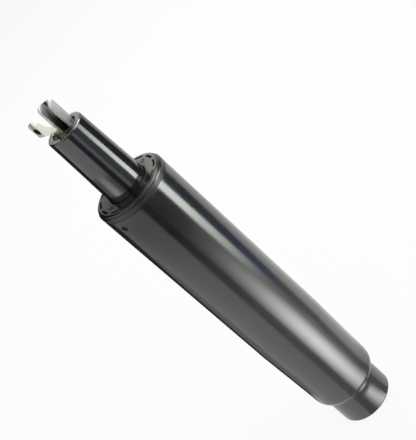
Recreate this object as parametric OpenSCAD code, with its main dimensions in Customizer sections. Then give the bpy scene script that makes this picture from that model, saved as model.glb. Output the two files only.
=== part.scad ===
// Gas lift column for a swivel chair, with a release lever and a bracket for a pull cable.
// Units are millimetres. The origin is the middle of the foot, +Z runs up the column.
// The cable bracket opens towards -X. The column is drawn at its lowest setting.

/* [Stand tube] */
// Height of the column from its foot to the top face of its collar
column_h = 235; // [215:1:260]
// Outer diameter of the stand tube
tube_od = 50; // [49:0.5:53]
// Wall of the stand tube
tube_wall = 1.5; // [1.2:0.1:2]
// Height at which the straight tube ends and its lower taper starts
straight_from = 83; // [78:1:95]
// Length of the lower taper, which wedges into a chair base
lower_taper_len = 54; // [50:1:56]
// Both tapers narrow by 1 mm of diameter for each of these mm of length
taper_ratio = 20; // [18:1:24]
// Radius of the rounded shoulder below the lower taper
shoulder_r = 9.2; // [8.6:0.1:10]
// Radius of the hollow between shoulder and neck
neck_fillet = 1.2; // [0.8:0.1:1.6]
// Outer diameter of the neck at the foot
neck_od = 39.2; // [38:0.2:40]
// Rounding of the tube's cut ends
tube_edge = 0.2; // [0.2:0.1:0.6]

/* [Locking dimples] */
// Diameter of a punched dimple that locks the guide bush
dimple_d = 4.2; // [3.6:0.2:4.8]
// Depth of a dimple
dimple_depth = 1.1; // [0.8:0.1:1.2]
// How far a dimple lies below the collar's top face
dimple_drop = 11; // [10:0.5:16]
// Direction of the first dimple, in degrees from +X
dimple_turn = 157; // [100:1:170]
// Number of dimples round the tube
dimple_count = 2; // [1:1:4]

/* [Guide bush and collar] */
// Height of the collar that stands on the tube's end
collar_h = 5.4; // [5:0.1:7]
// Width of the collar's rounded shoulder
collar_round = 2.8; // [2:0.1:3.4]
// How far down the thin groove under the shoulder lies
groove_drop = 1.4; // [1.1:0.1:2]
// Height and depth of the thin groove
groove_size = 0.4; // [0.2:0.1:0.6]
// Height and depth of the seam between the collar and the tube's end
seam_size = 0.6; // [0.3:0.1:0.7]
// Full length of the bush, collar included
bush_len = 110; // [90:1:125]
// Wall of the bush's inner sleeve
bush_wall = 2.2; // [1.6:0.1:3]
// Wall of the bush's outer sleeve
bush_skin = 1.7; // [1.5:0.1:2.2]
// Thickness of the top face
bush_top_t = 3; // [2.2:0.1:4]
// Number of slots in the top face
slot_count = 12; // [8:1:14]
// Diameter of the circle that the slots lie on
slot_circle_d = 42; // [40.6:0.1:42.4]
// Width of a slot
slot_w = 1.4; // [0.8:0.1:1.5]
// Length of a slot, in degrees
slot_span = 20.5; // [16:0.5:22]
// Direction of the first slot, in degrees from +X
slot_turn = 9.4; // [0:0.1:20]
// Thickness of the ribs between the two sleeves
rib_t = 1.6; // [1:0.1:2]

/* [Spindle] */
// Outer diameter of the spindle
spindle_od = 28; // [27.6:0.1:28.8]
// Wall of the spindle
spindle_wall = 1.5; // [1.3:0.1:1.8]
// How far the spindle stands above the collar at the lowest setting
spindle_stand = 51.5; // [49:0.5:58]
// Length of the upper taper, which wedges into the seat mechanism
upper_taper_len = 54; // [50:0.5:60]
// Rounding of the spindle's top edge
top_edge = 1.2; // [0.8:0.1:1.4]
// Opening in the spindle's rolled top lip
recess_d = 17.6; // [17.5:0.1:18]
// Thickness of the rolled top lip
top_lip_t = 2.5; // [2:0.1:3]
// Opening in the spindle's rolled lower lip
lower_lip_d = 17; // [15:0.5:20]
// Rise of the spindle from its lowest setting to its highest
stroke = 115; // [90:1:125]

/* [Release lever] */
// Angle between the lever and the bracket's opening
lever_turn = 32; // [28:1:36]
// Distance of the lever's end face from the column's axis
lever_reach = 12.9; // [12.4:0.1:13.2]
// Height of the lever above the spindle's rim
lever_h = 18; // [17.6:0.1:19]
// Width of the lever's head
lever_w = 6.3; // [5.9:0.1:6.5]
// Width of the lever's stem
stem_w = 3.2; // [2.8:0.1:3.6]
// Width of the lever's boss, which turns on the pivot pin in the plug's pocket
boss_w = 5; // [4.4:0.1:5.2]
// Distance of the lever's pivot from the column's axis
pivot_reach = 5.6; // [5.4:0.1:5.8]
// Depth of the pivot below the spindle's rim
pivot_drop = 3.4; // [3.2:0.1:3.6]
// Diameter of the pivot pin
pivot_d = 2; // [1.6:0.1:2.2]
// Length of the pivot pin
pivot_len = 11; // [9.5:0.5:11.5]
// Radius of the round nose that presses the valve pin
nose_r = 1.6; // [1.3:0.1:1.7]
// Diameter of the seat for the cable's nipple
nipple_d = 5.1; // [4:0.1:5.3]
// Depth of the nipple's seat
nipple_depth = 2.9; // [2:0.1:3.2]
// Height of the nipple's seat above the rim
nipple_h = 12; // [11.4:0.1:12.6]
// Width of the slit for the cable's wire
slit_w = 1; // [0.8:0.1:1.6]

/* [Cable bracket] */
// Width of the bracket over its two ears
bracket_w = 8.8; // [8.4:0.1:8.9]
// Depth of the bracket from its open front to its back
bracket_depth = 8.5; // [8:0.1:8.6]
// Thickness of the bracket's sheet
bracket_t = 1.8; // [1.5:0.1:1.9]
// How far the bracket's open front lies from the column's axis
bracket_front = 1.4; // [1.2:0.1:1.5]
// Sideways shift of the bracket towards -Y
bracket_shift = 1.3; // [1.1:0.1:1.4]
// Height of the taller ear above the rim, at its front
ear_h = 17.6; // [16.5:0.1:18.5]
// Height of the lower ear above the rim, at its front
low_ear_h = 16.6; // [15:0.1:17]
// How much the taller ear's top edge falls towards the back
ear_fall = 0.8; // [0:0.1:1.6]
// How much the lower ear's top edge falls towards the back
low_ear_fall = 1.7; // [0:0.1:2.4]
// Rounding of the ears' front corners
ear_round = 3.2; // [2:0.1:4]
// Width of the back web's lowered corner, beside the lower ear
notch_w = 3; // [2.4:0.1:4]
// Depth of the bracket's root in the head plug
bracket_root = 6; // [4:0.5:8]
// Outer bend radius of the sheet
bend_r = 1.9; // [1.9:0.1:2.4]

/* [Rod and piston] */
// Diameter of the piston rod
rod_d = 10; // [9.5:0.1:10.5]
// Diameter of the rod's stepped lower end
rod_end_d = 8; // [7.6:0.1:8.4]
// Diameter of the rod's upper stub in the piston
rod_stub_d = 6; // [5:0.5:7]
// Length of the piston
piston_len = 12; // [10:0.5:15]
// Height of the rubber bumper
bumper_h = 16.6; // [14:0.2:20]
// Diameter of the rubber bumper
bumper_d = 22; // [20:0.5:25]

/* [Swivel bearing] */
// Number of balls
ball_count = 10; // [7:1:10]
// Diameter of a ball
ball_d = 4; // [3.6:0.1:4.2]
// Diameter of the circle that the balls run on
ball_circle_d = 16.6; // [16.4:0.1:17.2]
// Thickness of a race
race_t = 2; // [1.8:0.1:3]
// Outer diameter of both races and the thrust washer
race_d = 24; // [23.4:0.1:26]
// Depth of a race's ball groove
race_groove = 0.5; // [0.3:0.1:0.7]
// Thickness of the cage
cage_t = 1.8; // [1.2:0.1:2.2]
// Thickness of the thrust washer under the rod's shoulder
thrust_t = 1.5; // [1:0.1:2.5]

/* [Foot] */
// Depth of the hollow below the bottom plate
foot_hollow = 5; // [4.6:0.1:7]
// Thickness of the bottom plate
plate_t = 3.5; // [2.5:0.1:5]
// Thickness of the flat washer under the plate
foot_washer_t = 0.8; // [0.6:0.1:1.2]
// Diameter of the flat washer
foot_washer_d = 18; // [14:0.5:22]
// Thickness of the retaining clip
clip_t = 0.9; // [0.7:0.1:1.2]
// Outer diameter of the retaining clip
clip_d = 14; // [12:0.5:18]
// Depth of the clip's groove in the rod's end
clip_groove = 0.8; // [0.5:0.1:1]

/* [Gas tube and seals] */
// Outer diameter of the inner gas tube
gas_tube_od = 23.6; // [23.2:0.1:24]
// Wall of the inner gas tube
gas_tube_wall = 1; // [0.8:0.1:1.3]
// Height of the rod guide
rod_guide_h = 6; // [5:0.5:9]
// Thickness of the washer above the rod guide
seal_washer_t = 1.5; // [1:0.1:2]
// Height of the rod seal
rod_seal_h = 5; // [4:0.5:7]
// Height of the seat that centres the gas tube
tube_seat_h = 5; // [4:0.5:7]
// Length of the spigots that centre the gas tube
spigot_len = 3; // [2:0.5:4]

/* [Head plug and valve] */
// How far the head plug's top lies below the rim
plug_sink = 1.2; // [0.9:0.1:1.3]
// Depth of the head plug's lower end below the rim
plug_depth = 34; // [30:1:38]
// Depth of the pocket for the lever below the rim
pocket_depth = 7; // [6.8:0.1:8]
// Diameter of the valve pin
valve_pin_d = 3; // [2.6:0.1:3.2]
// Diameter of the valve body's neck
valve_neck_d = 18; // [14:0.5:20]
// Length of the valve body's sealing part
valve_head_len = 13.5; // [12.5:0.5:16]
// Length of the valve body's lower part, down to the gas tube
valve_foot_len = 8; // [7:0.5:10]
// Diameter of the valve's chamber
chamber_d = 6.8; // [6.4:0.1:7.4]
// Thickness of the large seal rings
seal_ring_t = 2; // [1.6:0.1:2.4]
// Thickness of the small seal rings on the valve pin
pin_ring_t = 1.7; // [1.5:0.1:1.8]

/* [Fits] */
// Radial clearance of every shaft, piston, pin and sleeve that moves
running_gap = 0.05; // [0.03:0.01:0.09]
// Radial clearance of pieces that are seated in each other
seat_gap = 0.05; // [0.02:0.01:0.1]
// Clearance between the bumper and the spindle's lower lip
rest_gap = 0.3; // [0.2:0.1:0.6]
// Side clearance of the lever in its pocket
lever_gap = 0.3; // [0.2:0.1:0.4]

/* [Hidden] */
$fn = 96;
// Steps of a rounded edge in a turned profile
arc_steps = 8;
// Overshoot of cuts past the faces that they open
cut = 1;
// Chamfers: the bush's bore, the rod's foot, the recess's edge, the bumper's edges
bore_chamfer = 0.5;
rod_chamfer = 0.5;
lip_chamfer = 0.3;
bumper_chamfer = 1;

// Stand tube
tube_r = tube_od / 2;
neck_r = neck_od / 2;
tube_bore_r = tube_r - tube_wall;
neck_bore_r = neck_r - tube_wall;
tube_top = column_h - collar_h;
shoulder_z = straight_from - lower_taper_len;
shoulder_top_r = tube_r - lower_taper_len / (2 * taper_ratio);
shoulder_x = shoulder_top_r - shoulder_r;
fillet_x = neck_r + neck_fillet;
shoulder_dip = sqrt(pow(shoulder_r + neck_fillet, 2) - pow(fillet_x - shoulder_x, 2));
fillet_z = shoulder_z - shoulder_dip;
shoulder_angle = atan2(shoulder_dip, fillet_x - shoulder_x);

// A dimple is a cap of a sphere
dimple_ball_r = (pow(dimple_depth, 2) + pow(dimple_d / 2, 2)) / (2 * dimple_depth);
dimple_z = column_h - dimple_drop;
dimple_x = tube_r - dimple_depth + dimple_ball_r;

// Guide bush
bush_bore_r = spindle_od / 2 + running_gap;
bush_r = tube_bore_r - seat_gap;
slot_r = slot_circle_d / 2;
slot_step = 360 / slot_count;
collar_flat_r = tube_r - collar_round;
collar_step_r = tube_r - collar_round * 0.25;
collar_slope = 0.6;
rib_sink = 2;

// Spindle
spindle_r = spindle_od / 2;
spindle_bore_r = spindle_r - spindle_wall;
rim_z = column_h + spindle_stand;
upper_taper_z = rim_z - upper_taper_len;
recess_r = recess_d / 2;
function spindle_outer(z) = spindle_r - max(0, z - upper_taper_z) / (2 * taper_ratio);
function spindle_inner(z) = spindle_outer(z) - spindle_wall;

// Foot and swivel bearing, stacked up from the foot
plate_z = foot_hollow;
lower_race_z = plate_z + plate_t;
ball_r = ball_d / 2;
ball_track_r = ball_circle_d / 2;
track_r = ball_r + running_gap;
ball_z = lower_race_z + race_t - race_groove + track_r;
upper_race_z = ball_z + track_r - race_groove;
thrust_z = upper_race_z + race_t;
rod_shoulder_z = thrust_z + thrust_t;
bumper_top = rod_shoulder_z + bumper_h;
spindle_z = bumper_top + rest_gap;
rod_r = rod_d / 2;
rod_end_r = rod_end_d / 2;
rod_stub_r = rod_stub_d / 2;
race_clearance = 0.6;
cage_rim = 0.8;
foot_washer_z = plate_z - 2 * running_gap - foot_washer_t;
clip_z = foot_washer_z - clip_t;
clip_groove_r = rod_end_r - clip_groove;
rod_tip = 1.6;
rod_end_z = clip_z - rod_tip;

// Seals and gas tube, stacked up from the spindle's lower lip
seat_r = spindle_bore_r - seat_gap;
rod_guide_z = spindle_z + spindle_wall;
seal_washer_z = rod_guide_z + rod_guide_h;
rod_seal_z = seal_washer_z + seal_washer_t;
tube_seat_z = rod_seal_z + rod_seal_h;
gas_tube_z = tube_seat_z + tube_seat_h;
gas_tube_r = gas_tube_od / 2;
gas_bore_r = gas_tube_r - gas_tube_wall;
spigot_r = gas_bore_r - seat_gap;
end_gap = 0.5;
piston_z = gas_tube_z + spigot_len + stroke + end_gap;
piston_r = gas_bore_r - running_gap;

// Head plug and valve, stacked down from the rim
lip_z = rim_z - top_lip_t;
plug_top = rim_z - plug_sink;
plug_z = rim_z - plug_depth;
pocket_z = rim_z - pocket_depth;
valve_head_top = upper_taper_z - end_gap;
valve_head_z = valve_head_top - valve_head_len;
valve_foot_z = valve_head_z - valve_foot_len;
valve_z = valve_foot_z - spigot_len;
chamber_r = chamber_d / 2;
chamber_rise = 6;
chamber_top = valve_head_z + chamber_rise;
valve_pin_r = valve_pin_d / 2;
valve_pin_bore_r = valve_pin_r + running_gap;
seal_groove = seal_ring_t - 2 * seat_gap;
vent_r = 0.8;
vent_rise = 4.5;
vent_z = valve_foot_z + vent_rise;
// The spacer reaches this far below the vents
spacer_drop = 2.5;
spacer_z = vent_z - spacer_drop;
pin_clear_r = valve_pin_r + 0.3;

// Lever: all of its heights are above the rim
pivot_r = pivot_d / 2;
pivot_z = rim_z - pivot_drop;
nose_z = pivot_z - nose_r;
valve_pin_top = nose_z - running_gap;
pivot_boss_r = 2.2;
shelf_h = 4;

// Bracket
bracket_back = bracket_depth - bracket_front;
bracket_low_y = -bracket_shift - bracket_w / 2;
root_x = 3.9;

// Points of an arc about (x, z), from one angle to another
function arc(x, z, r, from, to) =
    [for (i = [0:arc_steps]) let (a = from + (to - from) * i / arc_steps) [x + r * cos(a), z + r * sin(a)]];

// A turned ring with its lower face at z
module ring(z, h, outer, inner) {
    translate([0, 0, z])
        difference() {
            cylinder(h = h, r = outer);
            translate([0, 0, -cut])
                cylinder(h = h + 2 * cut, r = inner);
        }
}

// A seal ring or a round groove about the column's axis
module torus(z, middle_r, section_r) {
    translate([0, 0, z])
        rotate_extrude()
            translate([middle_r, 0])
                circle(r = section_r, $fn = 32);
}

// Copies round the column's axis
module around(count, first = 0) {
    for (i = [0:count - 1])
        rotate([0, 0, first + i * 360 / count])
            children();
}

// A flat outline in the XZ plane, given a width along Y
module upright(width) {
    translate([0, width / 2, 0])
        rotate([90, 0, 0])
            linear_extrude(height = width)
                children();
}

// Turns +X to the lever's direction
module lever_side() {
    rotate([0, 0, 180 - lever_turn])
        children();
}

module dimple_ball(grow = 0) {
    around(dimple_count, dimple_turn)
        translate([dimple_x, 0, dimple_z])
            sphere(r = dimple_ball_r + grow);
}

module stand_tube() {
    outer = concat(
        [[neck_r - tube_edge, 0]],
        [[neck_r, tube_edge]],
        arc(fillet_x, fillet_z, neck_fillet, 180, 180 - shoulder_angle),
        arc(shoulder_x, shoulder_z, shoulder_r, -shoulder_angle, 0),
        [[tube_r, straight_from]],
        [[tube_r, tube_top - tube_edge]],
        [[tube_r - tube_edge, tube_top]]
    );
    inner = concat(
        [[tube_bore_r, tube_top]],
        [[tube_bore_r, straight_from]],
        arc(shoulder_x, shoulder_z, shoulder_r - tube_wall, 0, -shoulder_angle),
        arc(fillet_x, fillet_z, neck_fillet + tube_wall, 180 - shoulder_angle, 180),
        [[neck_bore_r, 0]]
    );
    color([0.09, 0.09, 0.1])
        difference() {
            union() {
                rotate_extrude()
                    polygon(concat(outer, inner));
                intersection() {
                    dimple_ball(tube_wall);
                    ring(dimple_z - 10, 20, tube_bore_r + tube_wall / 2, tube_bore_r - dimple_depth);
                }
            }
            dimple_ball();
        }
}

module bottom_plate() {
    color([0.55, 0.55, 0.57])
        ring(plate_z, plate_t, neck_bore_r - seat_gap, rod_end_r + running_gap);
}

module guide_bush() {
    // Heights in this profile are below the collar's top face
    profile = concat(
        [[bush_bore_r, -bore_chamfer]],
        [[bush_bore_r + bore_chamfer, 0]],
        [for (p = arc(collar_flat_r, -groove_drop, 1, 90, 0))
            [collar_flat_r + (p[0] - collar_flat_r) * (collar_step_r - collar_flat_r),
             -groove_drop + (p[1] + groove_drop) * groove_drop]],
        [[collar_step_r - groove_size, -groove_drop - groove_size / 4]],
        [[collar_step_r - groove_size, -groove_drop - groove_size * 3 / 4]],
        [[collar_step_r, -groove_drop - groove_size]],
        [[tube_r, -groove_drop - groove_size - collar_slope]],
        [[tube_r, -collar_h + seam_size]],
        [[tube_r - seam_size, -collar_h + seam_size]],
        [[tube_r - seam_size, -collar_h]],
        [[bush_r, -collar_h]],
        [[bush_r, -bush_len]],
        [[bush_r - bush_skin, -bush_len]],
        [[bush_r - bush_skin, -bush_top_t]],
        [[bush_bore_r + bush_wall, -bush_top_t]],
        [[bush_bore_r + bush_wall, -bush_len]],
        [[bush_bore_r, -bush_len]]
    );
    rib_from = bush_bore_r + bush_wall / 2;
    rib_to = bush_r - bush_skin / 2;
    color([0.13, 0.13, 0.13])
        translate([0, 0, column_h])
            difference() {
                union() {
                    rotate_extrude()
                        polygon(profile);
                    around(slot_count, slot_turn + slot_step / 2)
                        translate([rib_from, -rib_t / 2, rib_sink - bush_len])
                            cube([rib_to - rib_from, rib_t, bush_len - rib_sink - bush_top_t / 2]);
                }
                around(slot_count, slot_turn - slot_span / 2)
                    rotate_extrude(angle = slot_span)
                        translate([slot_r - slot_w / 2, -bush_top_t - cut])
                            square([slot_w, bush_top_t + 2 * cut]);
                // Groove that the dimples press into
                ring(-dimple_drop - dimple_d, 2 * dimple_d, bush_r + cut, bush_r - dimple_depth - seat_gap);
            }
}

module bearing_race(z, groove_z, bore_r) {
    color([0.7, 0.7, 0.72])
        difference() {
            ring(z, race_t, race_d / 2, bore_r);
            torus(groove_z, ball_track_r, track_r);
        }
}

module bearing_race_lower() {
    bearing_race(lower_race_z, ball_z, rod_end_r + race_clearance);
}

module bearing_race_upper() {
    bearing_race(upper_race_z, ball_z, rod_end_r + seat_gap);
}

module bearing_cage() {
    color([0.75, 0.6, 0.3])
        difference() {
            ring(ball_z - cage_t / 2, cage_t, ball_track_r + ball_r + cage_rim, ball_track_r - ball_r - cage_rim);
            around(ball_count)
                translate([ball_track_r, 0, ball_z - cage_t])
                    cylinder(h = 2 * cage_t, r = track_r, $fn = 48);
        }
}

module bearing_balls() {
    color([0.8, 0.8, 0.82])
        around(ball_count)
            translate([ball_track_r, 0, ball_z])
                sphere(r = ball_r, $fn = 48);
}

module thrust_washer() {
    color([0.62, 0.62, 0.64])
        ring(thrust_z, thrust_t, race_d / 2, rod_end_r + seat_gap);
}

module bumper() {
    bumper_r = bumper_d / 2;
    waist = 1.2;
    bore_r = rod_r + seat_gap;
    color([0.08, 0.08, 0.08])
        rotate_extrude()
            polygon([
                [bore_r, rod_shoulder_z], [bumper_r - bumper_chamfer, rod_shoulder_z],
                [bumper_r, rod_shoulder_z + bumper_chamfer], [bumper_r, rod_shoulder_z + bumper_h * 0.35],
                [bumper_r - waist, rod_shoulder_z + bumper_h * 0.45],
                [bumper_r - waist, rod_shoulder_z + bumper_h * 0.55],
                [bumper_r, rod_shoulder_z + bumper_h * 0.65], [bumper_r, bumper_top - bumper_chamfer],
                [bumper_r - bumper_chamfer, bumper_top], [bore_r, bumper_top]
            ]);
}

module piston_rod() {
    head_r = rod_stub_r + 1.5;
    head_t = 1.5;
    color([0.85, 0.85, 0.87])
        union() {
            difference() {
                union() {
                    translate([0, 0, rod_end_z + rod_chamfer])
                        cylinder(h = rod_shoulder_z - rod_end_z - rod_chamfer, r = rod_end_r);
                    translate([0, 0, rod_end_z])
                        cylinder(h = rod_chamfer, r1 = rod_end_r - rod_chamfer, r2 = rod_end_r);
                }
                ring(clip_z, clip_t, rod_end_r + cut, clip_groove_r);
            }
            translate([0, 0, rod_shoulder_z])
                cylinder(h = piston_z - rod_shoulder_z, r = rod_r);
            translate([0, 0, piston_z])
                cylinder(h = piston_len, r = rod_stub_r);
            translate([0, 0, piston_z + piston_len])
                cylinder(h = head_t, r1 = head_r, r2 = head_r - 1);
        }
}

module foot_washer() {
    color([0.66, 0.66, 0.68])
        ring(foot_washer_z, foot_washer_t, foot_washer_d / 2, rod_end_r + seat_gap);
}

module rod_clip() {
    mouth = clip_groove_r * 1.6;
    tongue = 0.9;
    relief = [1.2, 2];
    color([0.45, 0.45, 0.47])
        difference() {
            ring(clip_z, clip_t, clip_d / 2, clip_groove_r + seat_gap);
            // Open mouth of the clip
            translate([0, -mouth / 2, clip_z - cut])
                cube([clip_d, mouth, clip_t + 2 * cut]);
            // Relief slots beside its gripping tongues
            around(2, 110)
                translate([clip_groove_r + tongue, -relief[1] / 2, clip_z - cut])
                    cube([relief[0], relief[1], clip_t + 2 * cut]);
        }
}

module piston() {
    color([0.6, 0.6, 0.62])
        difference() {
            ring(piston_z, piston_len, piston_r, rod_stub_r + seat_gap);
            ring(piston_z + piston_len / 2 - seal_ring_t / 2 - seat_gap, seal_ring_t + 2 * seat_gap,
                piston_r + cut, piston_r - seal_groove);
        }
}

module piston_seal() {
    color([0.05, 0.05, 0.05])
        torus(piston_z + piston_len / 2, gas_bore_r - running_gap - seal_groove / 2, seal_groove / 2);
}

module spindle_tube() {
    outer = concat(
        [[lower_lip_d / 2, spindle_z]],
        arc(spindle_r - spindle_wall, spindle_z + spindle_wall, spindle_wall, -90, 0),
        [[spindle_r, upper_taper_z]],
        arc(spindle_outer(rim_z) - top_edge, rim_z - top_edge, top_edge, 0, 90)
    );
    inner = [
        [recess_r + lip_chamfer, rim_z], [recess_r, rim_z - lip_chamfer], [recess_r, lip_z],
        [spindle_inner(lip_z), lip_z], [spindle_bore_r, upper_taper_z],
        [spindle_bore_r, spindle_z + spindle_wall], [lower_lip_d / 2, spindle_z + spindle_wall]
    ];
    color([0.08, 0.08, 0.09])
        rotate_extrude()
            polygon(concat(outer, inner));
}

module rod_guide() {
    color([0.5, 0.5, 0.52])
        ring(rod_guide_z, rod_guide_h, seat_r, rod_r + running_gap);
}

module seal_washer() {
    color([0.66, 0.66, 0.68])
        ring(seal_washer_z, seal_washer_t, seat_r, rod_r + 4 * running_gap);
}

module rod_seal() {
    bore_r = rod_r + running_gap;
    lip = 1.2;
    color([0.06, 0.06, 0.06])
        rotate_extrude()
            polygon([
                [bore_r, rod_seal_z], [seat_r, rod_seal_z], [seat_r, tube_seat_z],
                [seat_r - lip, tube_seat_z], [(seat_r + bore_r) / 2, rod_seal_z + rod_seal_h / 2],
                [bore_r + lip, tube_seat_z], [bore_r, tube_seat_z]
            ]);
}

module tube_seat() {
    bore_r = rod_r + 0.4;
    port_w = 2;
    port_sink = 1.4;
    color([0.8, 0.78, 0.7])
        difference() {
            union() {
                ring(tube_seat_z, tube_seat_h, seat_r, bore_r);
                ring(tube_seat_z, tube_seat_h + spigot_len, spigot_r, bore_r);
            }
            // Notches that let the gas pass from the outer gap into the gas tube
            around(4)
                translate([bore_r + cut, -port_w / 2, gas_tube_z - port_sink])
                    cube([spindle_r, port_w, spigot_len + port_sink + cut]);
        }
}

module gas_tube() {
    color([0.72, 0.72, 0.74])
        ring(gas_tube_z, valve_foot_z - gas_tube_z, gas_tube_r, gas_bore_r);
}

module seal_places() {
    for (share = [0.3, 0.75])
        translate([0, 0, valve_head_z + valve_head_len * share])
            children();
}

module valve_body() {
    color([0.78, 0.78, 0.8])
        difference() {
            union() {
                translate([0, 0, valve_head_top])
                    cylinder(h = plug_z - valve_head_top, r = valve_neck_d / 2);
                translate([0, 0, valve_head_z])
                    cylinder(h = valve_head_len, r = seat_r);
                translate([0, 0, valve_foot_z])
                    cylinder(h = valve_foot_len, r = gas_tube_r);
                translate([0, 0, valve_z])
                    cylinder(h = spigot_len, r = spigot_r);
            }
            translate([0, 0, valve_z - cut])
                cylinder(h = plug_z - valve_z + 2 * cut, r = valve_pin_bore_r);
            translate([0, 0, valve_z - cut])
                cylinder(h = chamber_top - valve_z + cut, r = chamber_r);
            seal_places()
                ring(-seal_ring_t / 2 - seat_gap, seal_ring_t + 2 * seat_gap, seat_r + cut, seat_r - seal_groove);
            // Cross holes from the valve's chamber to the gap round the gas tube
            around(2)
                translate([-spindle_r, 0, vent_z])
                    rotate([0, 90, 0])
                        cylinder(h = spindle_od, r = vent_r, $fn = 24);
        }
}

module valve_body_seals() {
    color([0.05, 0.05, 0.05])
        seal_places()
            torus(0, seat_r - seal_groove / 2, seal_groove / 2);
}

module valve_spacer() {
    high = chamber_top - pin_ring_t - 2 * seat_gap;
    color([0.85, 0.8, 0.65])
        difference() {
            ring(spacer_z, high - spacer_z, chamber_r - seat_gap, pin_clear_r);
            around(2)
                translate([-spindle_r, 0, vent_z])
                    rotate([0, 90, 0])
                        cylinder(h = spindle_od, r = vent_r, $fn = 24);
        }
}

// Two small rings about the valve pin, above and below the spacer
module valve_pin_seals() {
    section_r = (chamber_r - seat_gap - valve_pin_bore_r) / 2;
    ring_r = min(section_r, pin_ring_t / 2);
    middle_r = valve_pin_bore_r + ring_r;
    color([0.05, 0.05, 0.05])
        for (z = [chamber_top - pin_ring_t / 2 - seat_gap, spacer_z - pin_ring_t / 2 - seat_gap])
            torus(z, middle_r, ring_r);
}

module valve_cap() {
    top = spacer_z - pin_ring_t - 2 * seat_gap;
    color([0.7, 0.55, 0.3])
        ring(valve_z, top - valve_z, chamber_r - seat_gap, pin_clear_r);
}

module valve_pin() {
    waist_len = 3;
    waist_z = vent_z - 2.2;
    waist_r = valve_pin_r - 0.5;
    tail_z = valve_z - 1.5;
    flange_t = 1;
    flange_r = valve_pin_r + 1;
    color([0.75, 0.75, 0.77])
        union() {
            translate([0, 0, waist_z + waist_len])
                cylinder(h = valve_pin_top - waist_z - waist_len, r = valve_pin_r);
            translate([0, 0, waist_z])
                cylinder(h = waist_len, r = waist_r);
            translate([0, 0, tail_z])
                cylinder(h = waist_z - tail_z, r = valve_pin_r);
            // Flange that stops the pin from leaving upwards
            translate([0, 0, tail_z])
                cylinder(h = flange_t, r = flange_r);
        }
}

// Flat outline of the bracket seen from above: a U that opens towards -X
module bracket_outline(grow = 0) {
    w = bracket_w + 2 * grow;
    inside = bracket_w - 2 * bracket_t - 2 * grow;
    translate([0, -bracket_shift])
        difference() {
            union() {
                translate([-bracket_front, -w / 2])
                    square([bracket_depth - bend_r, w]);
                translate([-bracket_front, -w / 2 + bend_r])
                    square([bracket_depth + grow, w - 2 * bend_r]);
                for (side = [-1, 1])
                    translate([bracket_back - bend_r + grow, side * (w / 2 - bend_r)])
                        circle(r = bend_r, $fn = 32);
            }
            translate([-bracket_front - cut, -inside / 2])
                square([bracket_depth - bracket_t - grow + cut, inside]);
        }
}

// Side outline of an ear above the rim, with its front corner rounded and its top falling back
module ear_outline(h, fall) {
    polygon(concat(
        [[bracket_back + cut, -plug_sink]],
        [[-bracket_front, -plug_sink]],
        arc(-bracket_front + ear_round, h - ear_round, ear_round, 180, 90),
        [[bracket_back + cut, h - fall]]
    ));
}

module cable_bracket() {
    split_y = bracket_low_y + notch_w;
    color([0.78, 0.8, 0.82])
        union() {
            translate([0, 0, rim_z])
                intersection() {
                    translate([0, 0, -plug_sink])
                        linear_extrude(height = ear_h + plug_sink)
                            bracket_outline();
                    union() {
                        translate([0, split_y + bracket_w / 2, 0])
                            upright(bracket_w)
                                ear_outline(ear_h, ear_fall);
                        translate([0, split_y - bracket_w / 2, 0])
                            upright(bracket_w)
                                ear_outline(low_ear_h, low_ear_fall);
                    }
                }
            // Root in the head plug
            intersection() {
                translate([0, 0, plug_top - bracket_root])
                    linear_extrude(height = bracket_root)
                        bracket_outline();
                translate([root_x, -spindle_r, plug_top - bracket_root - cut])
                    cube([spindle_r, spindle_od, bracket_root + 2 * cut]);
            }
        }
}

module head_plug() {
    plug_gap = seat_gap * 2;
    color([0.3, 0.3, 0.31])
        difference() {
            union() {
                translate([0, 0, plug_z])
                    cylinder(h = lip_z - plug_z, r1 = spindle_inner(plug_z) - plug_gap,
                        r2 = spindle_inner(lip_z) - plug_gap);
                translate([0, 0, plug_z])
                    cylinder(h = plug_top - plug_z, r = recess_r - plug_gap);
            }
            // Bore for the valve pin
            translate([0, 0, plug_z - cut])
                cylinder(h = plug_top - plug_z + 2 * cut, r = valve_pin_bore_r);
            lever_side() {
                // Pocket for the lever's boss and nose
                translate([-nose_r - 1, -boss_w / 2 - lever_gap, pocket_z])
                    cube([recess_r + nose_r + 1, boss_w + 2 * lever_gap, pocket_depth + cut]);
                translate([pivot_reach, pivot_len / 2, pivot_z])
                    rotate([90, 0, 0])
                        cylinder(h = pivot_len, r = pivot_r + seat_gap, $fn = 32);
            }
            // Pocket for the bracket's root
            intersection() {
                translate([0, 0, plug_top - bracket_root - seat_gap])
                    linear_extrude(height = bracket_root + cut)
                        bracket_outline(seat_gap);
                translate([root_x - seat_gap, -spindle_r, plug_top - bracket_root - cut])
                    cube([spindle_r, spindle_od, bracket_root + 3 * cut]);
            }
        }
}

module pivot_pin() {
    color([0.7, 0.7, 0.72])
        lever_side()
            translate([pivot_reach, pivot_len / 2, pivot_z])
                rotate([90, 0, 0])
                    cylinder(h = pivot_len, r = pivot_r, $fn = 32);
}

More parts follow.
